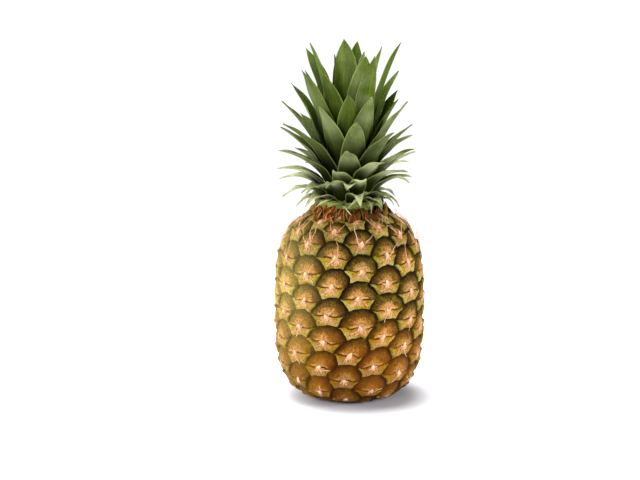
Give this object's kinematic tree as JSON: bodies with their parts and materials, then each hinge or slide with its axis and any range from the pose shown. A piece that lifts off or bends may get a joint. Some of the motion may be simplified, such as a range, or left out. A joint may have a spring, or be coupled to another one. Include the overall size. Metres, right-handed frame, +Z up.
{
  "type": "pineapple",
  "caption": "Whole ripe pineapple standing on its base: barrel fruit with spiralled eyes, ring of neck bracts and a crown of channelled pointed leaves.",
  "frame": {"origin": "middle of the flat base plane that the pineapple stands on", "axes": "+Z up along the fruit's axis, from the cut stalk to the crown's tip; -Y towards the side that the picture shows"},
  "size_m": [0.1258, 0.1274, 0.3012],
  "materials": {
    "rind": "waxy rind in olive brown, tan and yellow-green, with papery bract tips",
    "leaf": "stiff grey-green leaf with a powdery bloom",
    "bract": "dry papery bract, reddish orange to brown",
    "cut_stalk": "dried fibrous cut face, pale brown"
  },
  "bodies": {
    "root": {"fruit": "rind", "crown": "leaf", "neck_bracts": "bract", "stalk_end": "cut_stalk"}
  },
  "joints": []
}
